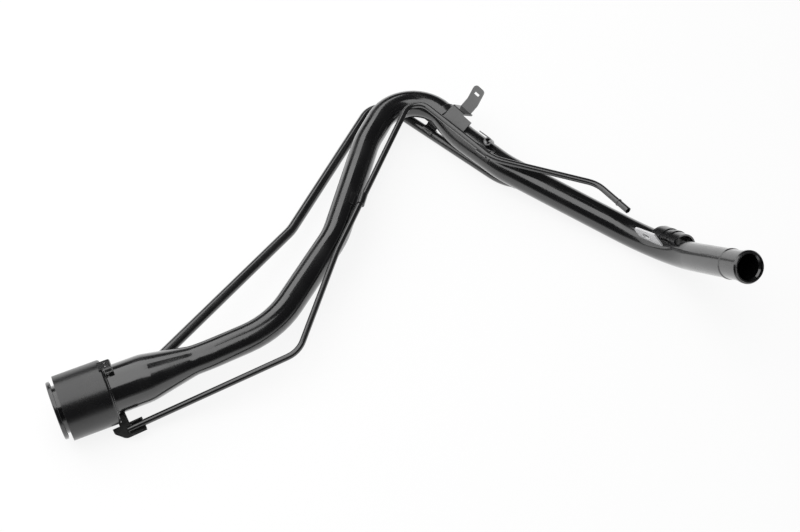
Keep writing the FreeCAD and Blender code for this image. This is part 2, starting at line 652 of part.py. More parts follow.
def sector(body, inner, outer, start_angle, end_angle, lift, length):
    """Pad of a ring sector about Z between two angles in degrees."""
    sketch = new_sketch(body, "XY_Plane", lift)
    near, far = value(inner), value(outer)
    first, last = math.radians(start_angle), math.radians(end_angle)
    centre = Vector(0, 0, 0)
    up = Vector(0, 0, 1)
    sketch.addGeometry(Part.ArcOfCircle(Part.Circle(centre, up, near), first, last), False)
    sketch.addGeometry(Part.ArcOfCircle(Part.Circle(centre, up, far), first, last), False)
    for angle in (first, last):
        ray = Vector(math.cos(angle), math.sin(angle), 0)
        sketch.addGeometry(Part.LineSegment(ray * near, ray * far), False)
    for arc, radius in ((0, inner), (1, outer)):
        sketch.addConstraint(Sketcher.Constraint("Coincident", arc, 3, -1, 1))
        index = sketch.addConstraint(Sketcher.Constraint("Radius", arc, value(radius)))
        sketch.setExpression(f"Constraints[{index}]", bound(radius))
    for line, spot in ((2, 1), (3, 2)):
        sketch.addConstraint(Sketcher.Constraint("Coincident", line, 1, 0, spot))
        sketch.addConstraint(Sketcher.Constraint("Coincident", line, 2, 1, spot))
        sketch.addConstraint(Sketcher.Constraint("PointOnObject", -1, 1, line))
    for line, angle in ((2, first), (3, last)):
        sketch.addConstraint(Sketcher.Constraint("Angle", line, angle))
    return pad(body, sketch, length)


def clip(name, place, small_path, small_outer, small_radius, wrap):
    """Clip on the filler pipe: a foot on the pipe, a web and a band round a small tube."""
    middle, along = MAIN.at(size(place))
    near = small_path.at(small_path.nearest(middle))[0]
    near = near - along * (near - middle).dot(along)
    frame = aimed(middle - along * (size("clip_width") / 2), along, toward=near)
    reach = (near - middle).Length
    foot = new_body(name + "_foot", frame)
    spread = size("clip_spread") / 2
    sector(foot, "pipe_radius - clip_sheet / 2", "pipe_radius + clip_sheet", -spread, spread, "0", "clip_width")
    web = new_sketch(foot, "XY_Plane")
    half = value("clip_sheet / 2")
    gap = reach - size(small_radius)
    web_corners = [Vector(size("pipe_radius"), -half, 0), Vector(gap, -half, 0), Vector(gap, half, 0),
                   Vector(size("pipe_radius"), half, 0)]
    for i in range(4):
        web.addGeometry(Part.LineSegment(web_corners[i], web_corners[(i + 1) % 4]), False)
        web.addConstraint(Sketcher.Constraint("Block", i))
    pad(foot, web, "clip_width")
    band_frame = frame.multiply(FreeCAD.Placement(Vector(reach, 0, 0), FreeCAD.Rotation(Vector(0, 0, 1), 180)))
    band = new_body(name + "_band", band_frame)
    if wrap >= 360:
        ring = new_sketch(band, "XY_Plane")
        circle(ring, "0", "0", small_radius + " + clip_sheet")
        circle(ring, "0", "0", small_radius + " - clip_sheet")
        pad(band, ring, "clip_width")
    else:
        sector(band, small_radius + " - clip_sheet", small_radius + " + clip_sheet", -wrap / 2, wrap / 2,
               "0", "clip_width")
    solid = fused(name + "_form", [foot, band])
    return cut(name, cut(name + "_seated", solid, main_outer), small_outer)


# Clips: a closed one round the breather tube, an open saddle on the vent pipe.
mid_clip = clip("mid_clip", "mid_clip_at", THIN, thin_outer, "thin_radius", 360)
vent_clip = clip("vent_clip", "vent_clip_at", VENT, vent_outer, "vent_radius", size("clip_wrap"))
hook_clip = clip("hook_clip", "hook_clip_at", THIN, thin_outer, "thin_radius", 250)

# Hanger: a folded plate on the upper bend, with a face along the pipe, a sloping top and an ear.
hanger_point, hanger_along = MAIN.at(size("hanger_at"))
hanger_frame = aimed(hanger_point, hanger_along, size("hanger_roll"))
hanger_body = new_body("hanger_body", hanger_frame)
fold = new_sketch(hanger_body, "XY_Plane", "-hanger_front")
outline(fold, [
    ("hanger_face", "-hanger_low"), ("hanger_face", "-hanger_rise + hanger_sheet"),
    ("hanger_face + hanger_sheet - hanger_top", "-hanger_rise + hanger_sheet - hanger_slope"),
    ("hanger_face + hanger_sheet - hanger_top", "-hanger_rise - hanger_slope"),
    ("hanger_face + hanger_sheet", "-hanger_rise"), ("hanger_face + hanger_sheet", "-hanger_low")])
fold_pad = pad(hanger_body, fold, "ear_width + top_margin")
outer_fold = straight_edge("z", x=value("hanger_face + hanger_sheet"), y=-size("hanger_rise"))
rounded(hanger_body, fold_pad, "hanger_bend", outer_fold)
face = new_sketch(hanger_body, "XY_Plane", "-hanger_front")
outline(face, [
    ("hanger_face", "-hanger_low"), ("hanger_face", "-hanger_rise + hanger_bend"),
    ("hanger_face + hanger_sheet", "-hanger_rise + hanger_bend"), ("hanger_face + hanger_sheet", "-hanger_low")])
pad(hanger_body, face, "hanger_front + hanger_rear")
ear = new_sketch(hanger_body, "YZ_Plane", "hanger_face + hanger_sheet - hanger_top")
ear_y = "-hanger_rise - hanger_slope"
outline(ear, [
    (ear_y + " + hanger_sheet", "-hanger_front"), (ear_y + " + hanger_sheet", "-hanger_front + ear_width"),
    (ear_y + " - ear_low", "-hanger_front + ear_width"),
    (ear_y + " - ear_low - ear_high", "-hanger_front + ear_width - ear_lean"),
    (ear_y + " - ear_low - ear_high", "-hanger_front - ear_lean"), (ear_y + " - ear_low", "-hanger_front")])
ear_pad = pad(hanger_body, ear, "hanger_sheet")
ear_end = value(ear_y + " - ear_low - ear_high")
rounded(hanger_body, ear_pad, "ear_round", lambda edge: isinstance(edge.Curve, Part.Line)
        and abs(edge.CenterOfMass.y - ear_end) < 0.01 and abs(abs(edge.Curve.Direction.x) - 1) < 1e-6)
slit = new_sketch(hanger_body, "YZ_Plane", "hanger_face + hanger_sheet - hanger_top")
slit_y = ear_y + " - ear_low - ear_high + slit_at"
slit_z = "-hanger_front + ear_width / 2 - ear_lean / 2"
outline(slit, [
    (slit_y + " - slit_width / 2", slit_z + " - slit_length / 2"),
    (slit_y + " - slit_width / 2", slit_z + " + slit_length / 2"),
    (slit_y + " + slit_width / 2", slit_z + " + slit_length / 2"),
    (slit_y + " + slit_width / 2", slit_z + " - slit_length / 2")])
pocket(hanger_body, slit)
hanger = cut("hanger", hanger_body, main_outer)

# Band round the pipe beside the hanger.
band_point, band_along = MAIN.at(size("band_at"))
band_frame = aimed(band_point - band_along * (size("band_width") / 2), band_along, size("band_turn"))
band_body = new_body("band_body", band_frame)
sector(band_body, "pipe_radius - band_sheet", "pipe_radius + band_sheet",
       -size("band_wrap") / 2, size("band_wrap") / 2, "0", "band_width")
hanger_band = cut("hanger_band", band_body, main_outer)

# Hook: a strip that ends in a curl, on the pipe behind the hanger.
curl_point, curl_along = MAIN.at(size("curl_at"))
curl_frame = aimed(curl_point, curl_along, size("hanger_roll"))
curl_body = new_body("curl_body", curl_frame)
strip = new_sketch(curl_body, "YZ_Plane", "curl_face - curl_width")
outline(strip, [
    ("-curl_rise", "-curl_strip"), ("-curl_rise", "0"), ("-curl_rise + clip_sheet", "0"),
    ("-curl_rise + clip_sheet", "-curl_strip")])
pad(curl_body, strip, "curl_width")
roll = new_sketch(curl_body, "YZ_Plane", "curl_face - curl_width")
circle(roll, "-curl_rise + curl_radius", "0", "curl_radius")
circle(roll, "-curl_rise + curl_radius", "0", "curl_radius - clip_sheet")
pad(curl_body, roll, "curl_width")
hook_seated = cut("hook_seated", curl_body, main_outer)
tube_hook = cut("tube_hook", cut("hook_on_tube", hook_seated, thin_outer), hook_clip)

# Lower bracket: an arch over the pipe on two feet, and a standing lug with a hole.
saddle_point, saddle_along = MAIN.at(size("saddle_at"))
saddle_frame = aimed(saddle_point, saddle_along, size("saddle_roll"))
saddle_body = new_body("saddle_body", saddle_frame)
sector(saddle_body, "saddle_inner", "saddle_inner + saddle_sheet", size("saddle_from"), size("saddle_to"),
       "-saddle_front", "saddle_front + saddle_rear")
for foot_from in (size("saddle_from"), size("saddle_to") - size("saddle_foot")):
    sector(saddle_body, "pipe_radius - saddle_sheet", "saddle_inner + saddle_sheet / 2", foot_from,
           foot_from + size("saddle_foot"), "-saddle_front", "saddle_front + saddle_rear")
for rib in ("broad_rib", "narrow_rib"):
    sector(saddle_body, "saddle_inner + saddle_sheet / 2", "saddle_inner + saddle_sheet + saddle_rib",
           size("saddle_from"), size("saddle_to"), rib + "_at", rib)
lower_saddle = cut("lower_saddle", saddle_body, main_outer)
lug_tilt = FreeCAD.Placement(Vector(size("lug_offset"), -size("lug_height"), -size("lug_ahead")),
                             FreeCAD.Rotation(Vector(0, 0, 1), size("lug_tilt")))
lug_body = new_body("lug_body", saddle_frame.multiply(lug_tilt))
lug = new_sketch(lug_body, "XZ_Plane")
outline(lug, [("0", "0"), ("lug_width", "0"), ("lug_width", "lug_length"), ("0", "lug_length")])
lug_pad = pad(lug_body, lug, "saddle_sheet")
lug_round = rounded(lug_body, lug_pad, "lug_corner", lambda edge: isinstance(edge.Curve, Part.Line)
                    and abs(abs(edge.Curve.Direction.y) - 1) < 1e-6 and edge.CenterOfMass.z < 0.01)
slot = new_sketch(lug_body, "XZ_Plane")
circle(slot, "lug_width / 2", "lug_hole_at", "lug_hole")
pocket(lug_body, slot)
lower_lug = cut("lower_lug", lug_body, main_outer)

NODES = {
    "main_pipe": main_pipe,
    "mouth_rim": mouth_rim,
    "nozzle_guide": nozzle_guide,
    "collar_cup": collar_cup,
    "tether_tab": tether_tab,
    "vent_pipe": vent_pipe,
    "breather_tube": breather_tube,
    "breather_holder": breather_holder,
    "mid_clip": mid_clip,
    "vent_clip": vent_clip,
    "hook_clip": hook_clip,
    "hanger": hanger,
    "hanger_band": hanger_band,
    "tube_hook": tube_hook,
    "lower_saddle": lower_saddle,
    "lower_lug": lower_lug,
}

DOC.recompute()
for item in DOC.Objects:
    if "Invalid" in item.State or "Error" in item.State:
        raise RuntimeError(f"{item.Name} did not build: {item.State}")
box = FreeCAD.BoundBox()
for node, item in NODES.items():
    item.Label = node
    shape = item.Shape
    if shape.isNull() or not shape.isValid() or not shape.Solids:
        raise RuntimeError(f"{node} is not a valid solid")
    if len(shape.Solids) != 1:
        raise RuntimeError(f"{node} is in {len(shape.Solids)} pieces")
    box.add(shape.BoundBox)
    shape.exportStep(f"parts/{node}.step")
    print(node, "volume", round(shape.Volume, 1), "faces", len(shape.Faces))
print("box", [round(n, 3) for n in (box.XMin, box.YMin, box.ZMin, box.XMax, box.YMax, box.ZMax)])
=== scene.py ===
"""Looks of a fuel filler neck: black gloss paint, weld beads, and a pale studio round it."""

import logging
import math
from dataclasses import dataclass, field
from enum import Enum

import bpy
import numpy as np
from mathutils import Matrix, Vector
from mathutils.bvhtree import BVHTree


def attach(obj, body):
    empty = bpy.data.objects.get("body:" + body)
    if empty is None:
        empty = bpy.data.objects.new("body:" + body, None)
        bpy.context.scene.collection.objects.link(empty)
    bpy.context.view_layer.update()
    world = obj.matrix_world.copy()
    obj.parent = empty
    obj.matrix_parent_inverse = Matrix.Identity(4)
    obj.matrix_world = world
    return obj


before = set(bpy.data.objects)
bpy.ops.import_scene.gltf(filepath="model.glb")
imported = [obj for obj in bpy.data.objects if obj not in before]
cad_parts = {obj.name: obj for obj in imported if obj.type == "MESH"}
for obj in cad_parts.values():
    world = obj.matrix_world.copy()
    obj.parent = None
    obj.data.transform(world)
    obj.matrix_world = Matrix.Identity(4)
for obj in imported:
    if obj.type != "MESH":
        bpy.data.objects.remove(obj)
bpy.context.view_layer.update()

log = logging.getLogger("filler_neck")

Point = tuple[float, float, float]
Colour = tuple[float, float, float]
Step = tuple[float, float]

BODY = "root"
MM = 0.001
FULL_TURN = 2.0 * np.pi
UPRIGHT = np.array([0.0, 0.0, 1.0])
WHITE: Colour = (1.0, 1.0, 1.0)


class Slot(Enum):
    """The record's material slots."""

    PIPE = "pipe_black"
    RIM = "rim_black"
    GUIDE = "guide_black"
    CUP = "cup_black"
    FITTING = "fitting_black"
    VENT = "vent_black"
    TUBE = "tube_black"
    BRACKET = "bracket_black"
    CLIP = "clip_black"
    SADDLE = "saddle_black"
    LUG = "lug_grey"


@dataclass(frozen=True)
class Finish:
    """One coat of paint, or a light grey painted reflection, as numbers for the shader.

    Colours are linear; scales are patterns per metre; depths and widths are metres.
    """

    name: str
    colour: Colour = (0.005, 0.005, 0.0055)
    worn: Colour = (0.10, 0.10, 0.104)
    dust: Colour = (0.16, 0.16, 0.158)
    rough_low: float = 0.16
    rough_high: float = 0.34
    coat: float = 0.9
    coat_rough: float = 0.09
    metal: float = 0.0
    gloss: float = 1.6
    peel_scale: float = 420.0
    peel_depth: float = 0.00006
    peel_strength: float = 0.6
    edge_width: float = 0.0009
    edge_amount: float = 0.55
    dust_amount: float = 0.22
    scuff_amount: float = 0.35


FINISHES: dict[Slot, Finish] = {
    Slot.PIPE: Finish("pipe_paint"),
    Slot.RIM: Finish("rim_paint", rough_low=0.2, rough_high=0.4, edge_amount=0.8),
    Slot.GUIDE: Finish("guide_paint", rough_low=0.3, rough_high=0.5, coat=0.2),
    Slot.CUP: Finish("cup_paint", rough_low=0.26, rough_high=0.4, coat=0.35, coat_rough=0.2,
                     peel_depth=0.00009, edge_amount=0.7),
    Slot.FITTING: Finish("fitting_paint", rough_low=0.2, rough_high=0.4, edge_amount=0.75),
    Slot.VENT: Finish("vent_paint", colour=(0.007, 0.007, 0.0075), rough_low=0.2,
                      rough_high=0.36),
    Slot.TUBE: Finish("tube_paint", colour=(0.01, 0.01, 0.0105), rough_low=0.18,
                      rough_high=0.32),
    Slot.BRACKET: Finish("bracket_paint", colour=(0.007, 0.007, 0.0075), rough_low=0.24,
                         rough_high=0.45, edge_amount=0.85),
    Slot.CLIP: Finish("clip_paint", rough_low=0.24, rough_high=0.44, edge_amount=0.8),
    Slot.SADDLE: Finish("saddle_paint", rough_low=0.22, rough_high=0.42, edge_amount=0.85),
    # Painted reflection: the lug is black paint like the other parts, and its light grey colour
    # stands in for the lamp light that its flat face reflects.
    Slot.LUG: Finish("lug_painted_reflection", colour=(0.6, 0.6, 0.61), worn=(0.78, 0.78, 0.78),
                     dust=(0.4, 0.4, 0.4), rough_low=0.36, rough_high=0.52, coat=0.1,
                     metal=0.1, edge_amount=0.4, dust_amount=0.4),
}


@dataclass(frozen=True)
class Noise:
    """A noise pattern: patterns per metre, octaves, and how strong the small ones are."""

    scale: float
    detail: float
    rough: float = 0.5


@dataclass(frozen=True)
class EdgeWear:
    """Numbers of worn edges. A step is where a mask starts and where it is full."""

    samples: int = 6
    turned: Step = (0.03, 0.2)
    breaks: Noise = Noise(260.0, 4.0, 0.6)
    broken: Step = (0.34, 0.6)
    width: float = 0.0009
    amount: float = 0.5


@dataclass(frozen=True)
class Spray:
    """Numbers of sprayed paint. A step is where a mask starts and where it is full."""

    peel: Noise = Noise(420.0, 2.0, 0.45)
    runs: Noise = Noise(38.0, 3.0)
    runs_height: float = 1.6
    scratches: Noise = Noise(150.0, 5.0, 0.7)
    scratch_stretch: Point = (1.0, 5.0, 2.0)
    scratch_turn: Point = (0.0, 0.3, 0.6)
    scratched: Step = (0.56, 0.72)
    patches: Noise = Noise(22.0, 3.0)
    patched: Step = (0.35, 0.7)
    grain_scale: float = 700.0
    grain_size: Step = (0.05, 0.16)
    sparse: Step = (0.45, 0.62)
    dust: float = 0.2
    scuff: float = 0.3


class Graph:
    """Short ways to add and join nodes in one tree."""

    def __init__(self, tree: bpy.types.NodeTree) -> None:
        """Keeps the tree.

        Args:
            tree: the node tree to add to.
        """
        self.tree = tree

    def add(self, kind: str, **settings: object) -> bpy.types.Node:
        """Adds a node and sets its properties and plain inputs.

        Args:
            kind: the node's type name.
            settings: properties by name; an input by its name with underscores for blanks.

        Returns:
            The node.
        """
        node = self.tree.nodes.new(kind)
        for name, value in settings.items():
            if hasattr(node, name):
                setattr(node, name, value)
            else:
                node.inputs[name.replace("_", " ")].default_value = value
        return node

    def feed(self, item: object, into: bpy.types.NodeSocket) -> None:
        """Joins a socket to an input, or sets a plain value on it.

        Args:
            item: socket or value.
            into: the input.
        """
        if isinstance(item, bpy.types.NodeSocket):
            self.tree.links.new(item, into)
        else:
            into.default_value = item

    def maths(self, operation: str, first: object, second: object) -> bpy.types.NodeSocket:
        """Adds a Math node.

        Args:
            operation: what it does.
            first: socket or number.
            second: socket or number.

        Returns:
            Its value.
        """
        node = self.add("ShaderNodeMath", operation=operation)
        self.feed(first, node.inputs[0])
        self.feed(second, node.inputs[1])
        return node.outputs[0]

    def mix(self, share: bpy.types.NodeSocket, first: object,
            second: object) -> bpy.types.NodeSocket:
        """Mixes two colours.

        Args:
            share: how much of the second there is.
            first: socket or colour.
            second: socket or colour.

        Returns:
            The mixed colour.
        """
        node = self.add("ShaderNodeMix", data_type="RGBA")
        self.feed(share, node.inputs["Factor"])
        for name, item in (("A", first), ("B", second)):
            plain = isinstance(item, tuple)
            self.feed((*item, 1.0) if plain else item, node.inputs[name])
        return node.outputs["Result"]

    def ramp(self, value: bpy.types.NodeSocket, step: Step) -> bpy.types.NodeSocket:
        """Smooth step from 0 to 1.

        Args:
            value: what is stepped.
            step: where the result is 0 and where it is 1.

        Returns:
            The stepped value.
        """
        node = self.add("ShaderNodeMapRange", interpolation_type="SMOOTHSTEP",
                        From_Min=step[0], From_Max=step[1])
        self.feed(value, node.inputs["Value"])
        return node.outputs["Result"]

    def noise(self, place: bpy.types.NodeSocket, pattern: Noise) -> bpy.types.Node:
        """Adds a noise pattern.

        Args:
            place: the coordinates that it reads.
            pattern: its numbers.

        Returns:
            The node, whose first output is the noise.
        """
        node = self.add("ShaderNodeTexNoise", Scale=pattern.scale, Detail=pattern.detail,
                        Roughness=pattern.rough)
        self.feed(place, node.inputs["Vector"])
        return node


def new_group(name: str, inputs: dict[str, float], outputs: tuple[str, ...]) -> Graph:
    """Starts a node group with plain number sockets.

    Args:
        name: the group's name.
        inputs: starting values by input name.
        outputs: output names.

    Returns:
        The group's graph.
    """
    group = bpy.data.node_groups.new(name, "ShaderNodeTree")
    for socket, value in inputs.items():
        group.interface.new_socket(name=socket, in_out="INPUT",
                                   socket_type="NodeSocketFloat").default_value = value
    for socket in outputs:
        group.interface.new_socket(name=socket, in_out="OUTPUT", socket_type="NodeSocketFloat")
    return Graph(group)


def edge_group(look: EdgeWear = EdgeWear()) -> bpy.types.NodeTree:
    """Mask of sharp edges: how far a rounded normal turns away from the face's own.

    Args:
        look: the numbers of the wear.

    Returns:
        Group with Width and Amount in, Mask out.
    """
    g = new_group("edge_wear", {"Width": look.width, "Amount": look.amount}, ("Mask",))
    given = g.add("NodeGroupInput")
    result = g.add("NodeGroupOutput")
    bevel = g.add("ShaderNodeBevel", samples=look.samples)
    g.feed(given.outputs["Width"], bevel.inputs["Radius"])
    shape = g.add("ShaderNodeNewGeometry")
    dot = g.add("ShaderNodeVectorMath", operation="DOT_PRODUCT")
    g.feed(bevel.outputs[0], dot.inputs[0])
    g.feed(shape.outputs["Normal"], dot.inputs[1])
    sharp = g.ramp(g.maths("SUBTRACT", 1.0, dot.outputs["Value"]), look.turned)
    place = g.add("ShaderNodeTexCoord").outputs["Object"]
    broken = g.ramp(g.noise(place, look.breaks).outputs[0], look.broken)
    mask = g.maths("MULTIPLY", g.maths("MULTIPLY", sharp, broken), given.outputs["Amount"])
    g.feed(mask, result.inputs["Mask"])
    return g.tree


def paint_group(look: Spray = Spray()) -> bpy.types.NodeTree:
    """Sprayed paint: peel height, streaky gloss and specks of dust.

    Args:
        look: the numbers of the paint.

    Returns:
        Group with Peel Scale, Dust and Scuff in; Height, Gloss and Specks out.
    """
    g = new_group("sprayed_paint",
                  {"Peel Scale": look.peel.scale, "Dust": look.dust, "Scuff": look.scuff},
                  ("Height", "Gloss", "Specks"))
    given = g.add("NodeGroupInput")
    result = g.add("NodeGroupOutput")
    place = g.add("ShaderNodeTexCoord").outputs["Object"]

    peel = g.noise(place, look.peel)
    g.feed(given.outputs["Peel Scale"], peel.inputs["Scale"])
    runs = g.noise(place, look.runs).outputs[0]
    height = g.maths("ADD", peel.outputs[0], g.maths("MULTIPLY", runs, look.runs_height))
    g.feed(height, result.inputs["Height"])

    stretch = g.add("ShaderNodeMapping", Scale=look.scratch_stretch, Rotation=look.scratch_turn)
    g.feed(place, stretch.inputs["Vector"])
    scratches = g.noise(stretch.outputs[0], look.scratches).outputs[0]
    scuffs = g.maths("MULTIPLY", g.ramp(scratches, look.scratched), given.outputs["Scuff"])
    patches = g.ramp(g.noise(place, look.patches).outputs[0], look.patched)
    g.feed(g.maths("ADD", patches, scuffs), result.inputs["Gloss"])

    grains = g.add("ShaderNodeTexVoronoi", Scale=look.grain_scale)
    g.feed(place, grains.inputs["Vector"])
    specks = g.maths("SUBTRACT", 1.0, g.ramp(grains.outputs["Distance"], look.grain_size))
    few = g.maths("MULTIPLY", specks, g.ramp(runs, look.sparse))
    g.feed(g.maths("MULTIPLY", few, given.outputs["Dust"]), result.inputs["Specks"])
    return g.tree


@dataclass
class Paintshop:
    """Makes each finish's material once and puts it on pieces."""

    edges: bpy.types.NodeTree = field(default_factory=edge_group)
    paint: bpy.types.NodeTree = field(default_factory=paint_group)
    made: dict[Slot, bpy.types.Material] = field(default_factory=dict)

    def material(self, slot: Slot) -> bpy.types.Material:
        """The material of a slot.

        Args:
            slot: which finish.

        Returns:
            The material, made on first use.
        """
        if slot not in self.made:
            self.made[slot] = self.mix(FINISHES[slot])
        return self.made[slot]

    def mix(self, finish: Finish) -> bpy.types.Material:
        """Builds one material.

        Args:
            finish: its numbers.

        Returns:
            A material with paint, dust, worn edges and a clear coat.
        """
        material = bpy.data.materials.new(finish.name)
        material.use_nodes = True
        g = Graph(material.node_tree)
        shader = material.node_tree.nodes["Principled BSDF"]
        for name, value in (("Coat Weight", finish.coat), ("Coat Roughness", finish.coat_rough),
                            ("Metallic", finish.metal), ("IOR", finish.gloss)):
            shader.inputs[name].default_value = value
        skin = g.add("ShaderNodeGroup", node_tree=self.paint, Peel_Scale=finish.peel_scale,
                     Dust=finish.dust_amount, Scuff=finish.scuff_amount)
        edge = g.add("ShaderNodeGroup", node_tree=self.edges, Width=finish.edge_width,
                     Amount=finish.edge_amount)
        dusty = g.mix(skin.outputs["Specks"], finish.colour, finish.dust)
        worn = g.mix(edge.outputs["Mask"], dusty, finish.worn)
        g.feed(worn, shader.inputs["Base Color"])
        rough = g.add("ShaderNodeMapRange", To_Min=finish.rough_low, To_Max=finish.rough_high)
        g.feed(skin.outputs["Gloss"], rough.inputs["Value"])
        g.feed(rough.outputs["Result"], shader.inputs["Roughness"])
        bump = g.add("ShaderNodeBump", Strength=finish.peel_strength, Distance=finish.peel_depth)
        g.feed(skin.outputs["Height"], bump.inputs["Height"])
        g.feed(bump.outputs["Normal"], shader.inputs["Normal"])
        return material

    def dress_node(self, node: str, slot: Slot) -> None:
        """Puts a finish on a frame node.

        Args:
            node: the node's name.
            slot: its finish.
        """
        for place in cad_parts[node].material_slots:
            place.material = self.material(slot)
        log.info("%s wears %s", node, FINISHES[slot].name)

    def dress_piece(self, piece: bpy.types.Object, slot: Slot) -> None:
        """Puts a finish on a new piece and lets it ride on the body.

        Args:
            piece: the mesh object.
            slot: its finish.
        """
        piece.data.materials.append(self.material(slot))
        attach(piece, BODY)
        log.info("%s made, %d faces", piece.name, len(piece.data.polygons))


def unit(vector: np.ndarray) -> np.ndarray:
    """Vectors of length one along the same directions."""
    return vector / np.linalg.norm(vector, axis=-1, keepdims=True)


def circle(centre: np.ndarray, along: np.ndarray, radius: float, count: int) -> np.ndarray:
    """Points of a circle: centre + radius * (cos t * side + sin t * rise).

    Args:
        centre: its centre in metres.
        along: unit direction square to the circle, not upright.
        radius: its radius.
        count: how many points.

    Returns:
        One row for each point.
    """
    side = unit(np.cross(along, UPRIGHT))
    rise = np.cross(side, along)
    turn = np.linspace(0.0, FULL_TURN, count, endpoint=False)[:, None]
    return centre + radius * (np.cos(turn) * side + np.sin(turn) * rise)


def mesh_piece(name: str, points: np.ndarray, faces: list[list[int]]) -> bpy.types.Object:
    """Makes a smooth mesh object at the origin.

    Args:
        name: the piece's name.
        points: corner places in metres, one row each.
        faces: corner numbers of each face.

    Returns:
        The object, linked to the scene.
    """
    mesh = bpy.data.meshes.new(name)
    mesh.from_pydata(points.tolist(), [], faces)
    mesh.polygons.foreach_set("use_smooth", np.ones(len(faces), dtype=bool))
    mesh.update()
    piece = bpy.data.objects.new(name, mesh)
    bpy.context.scene.collection.objects.link(piece)
    return piece


@dataclass(frozen=True)
class Bead:
    """Weld bead: a circle carried along a path, swollen once for each weld puddle.

    Around the path the surface is centre + r(u) * (cos v * across + sin v * up). r(u) is the
    radius times 1 + swell * |sin(pi * length / pitch)|. An open bead's r(u) is also multiplied by
    the root of 1 - (2u - 1) ** end_power, held at end_least or above, and a face closes each end.
    """

    radius: float
    closed: bool = True
    pitch: float = 0.0021
    swell: float = 0.16
    end_power: int = 8
    end_least: float = 0.0004
    sides: int = 12

    def directions(self, path: np.ndarray) -> tuple[np.ndarray, np.ndarray]:
        """Unit directions square to the path.

        Args:
            path: points of the bead's middle in metres.

        Returns:
            The directions across and up, one row for each point.
        """
        after = np.roll(path, -1, axis=0)
        before = np.roll(path, 1, axis=0)
        if not self.closed:
            after[-1] = path[-1] * 2 - path[-2]
            before[0] = path[0] * 2 - path[1]
        along = unit(after - before)
        off_centre = path - path.mean(axis=0) + 1e-6
        up = unit(np.cross(along, unit(np.cross(off_centre, along))))
        return np.cross(up, along), up

    def radii(self, path: np.ndarray) -> np.ndarray:
        """The bead's radius at each point of the path.

        Args:
            path: points of the bead's middle in metres.

        Returns:
            One radius for each point.
        """
        steps = np.linalg.norm(np.diff(path, axis=0), axis=1)
        length = np.concatenate([[0.0], np.cumsum(steps)])
        radii = self.radius * (1.0 + self.swell * np.abs(np.sin(np.pi * length / self.pitch)))
        if self.closed:
            return radii
        fall = 1.0 - (2.0 * length / length[-1] - 1.0) ** self.end_power
        return radii * np.sqrt(np.clip(fall, self.end_least, 1.0))

    def faces(self, rings: int) -> list[list[int]]:
        """Four-sided faces between neighbouring rings, and the ends of an open bead.

        Args:
            rings: how many rings of points the bead has.

        Returns:
            Corner numbers of each face.
        """
        rows = rings if self.closed else rings - 1
        row, side = np.meshgrid(np.arange(rows), np.arange(self.sides), indexing="ij")
        next_row = (row + 1) % rings
        next_side = (side + 1) % self.sides
        corners = (row * self.sides + side, row * self.sides + next_side,
                   next_row * self.sides + next_side, next_row * self.sides + side)
        faces = np.stack(corners, axis=-1).reshape(-1, 4).tolist()
        if not self.closed:
            count = rings * self.sides
            faces.append(list(range(self.sides))[::-1])
            faces.append(list(range(count - self.sides, count)))
        return faces

    def make(self, name: str, path: np.ndarray) -> bpy.types.Object:
        """Makes the bead.

        Args:
            name: the piece's name.
            path: points of the bead's middle in metres.

        Returns:
            The bead's object.
        """
        across, up = self.directions(path)
        turn = np.linspace(0.0, FULL_TURN, self.sides, endpoint=False)[None, :, None]
        ring = across[:, None, :] * np.cos(turn) + up[:, None, :] * np.sin(turn)
        points = path[:, None, :] + ring * self.radii(path)[:, None, None]
        return mesh_piece(name, points.reshape(-1, 3), self.faces(len(path)))


class Surface:
    """A frame node's surface, for laying beads on it."""

    def __init__(self, node: str) -> None:
        """Reads the node's mesh.

        Args:
            node: the node's name.
        """
        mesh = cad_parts[node].data
        self.tree = BVHTree.FromPolygons([v.co.copy() for v in mesh.vertices],
                                         [tuple(p.vertices) for p in mesh.polygons])

    def hit(self, start: np.ndarray, along: np.ndarray) -> np.ndarray:
        """First point that a ray meets, or its start where it meets nothing.

        Args:
            start: where the ray starts.
            along: its direction.

        Returns:
            The point.
        """
        found = self.tree.ray_cast(Vector(start), Vector(along))[0]
        return np.array(found if found is not None else start)

    def lay(self, start: Point, end: Point, count: int = 40) -> np.ndarray:
        """Points of a straight guide moved to the nearest places on the surface.

        Args:
            start: the guide's start in metres.
            end: its end.
            count: how many points.

        Returns:
            One row for each point.
        """
        share = np.linspace(0.0, 1.0, count)[:, None]
        guide = np.array(start) * (1.0 - share) + np.array(end) * share
        return np.array([np.array(self.tree.find_nearest(Vector(p))[0]) for p in guide])


@dataclass
class NeckAssembly:
    """Wide neck with its cup, rim, guide and tether tab.

    The aim is the neck's direction, of any length; weld_proud is a share of the weld's radius.
    """

    mouth: Point = (-0.309114, -0.18008, 0.0312)
    aim: Point = (118.0, 50.7, 2.8)
    cup_depth: float = 45 * MM
    neck_radius: float = 23 * MM
    weld_radius: float = 1.1 * MM
    weld_proud: float = 0.2
    weld_points: int = 240

    def cup_weld(self) -> bpy.types.Object:
        """Ring bead where the neck leaves the cup.

        Returns:
            The bead's object.
        """
        along = unit(np.array(self.aim))
        reach = self.cup_depth + self.weld_radius * self.weld_proud
        centre = np.array(self.mouth) + along * reach
        path = circle(centre, along, self.neck_radius, self.weld_points)
        return Bead(self.weld_radius).make("cup_weld", path)

    def build(self, shop: Paintshop) -> None:
        """Dresses the nodes and adds the cup's weld.

        Args:
            shop: where the finishes come from.
        """
        shop.dress_node("mouth_rim", Slot.RIM)
        shop.dress_node("nozzle_guide", Slot.GUIDE)
        shop.dress_node("collar_cup", Slot.CUP)
        shop.dress_node("tether_tab", Slot.FITTING)
        shop.dress_piece(self.cup_weld(), Slot.PIPE)


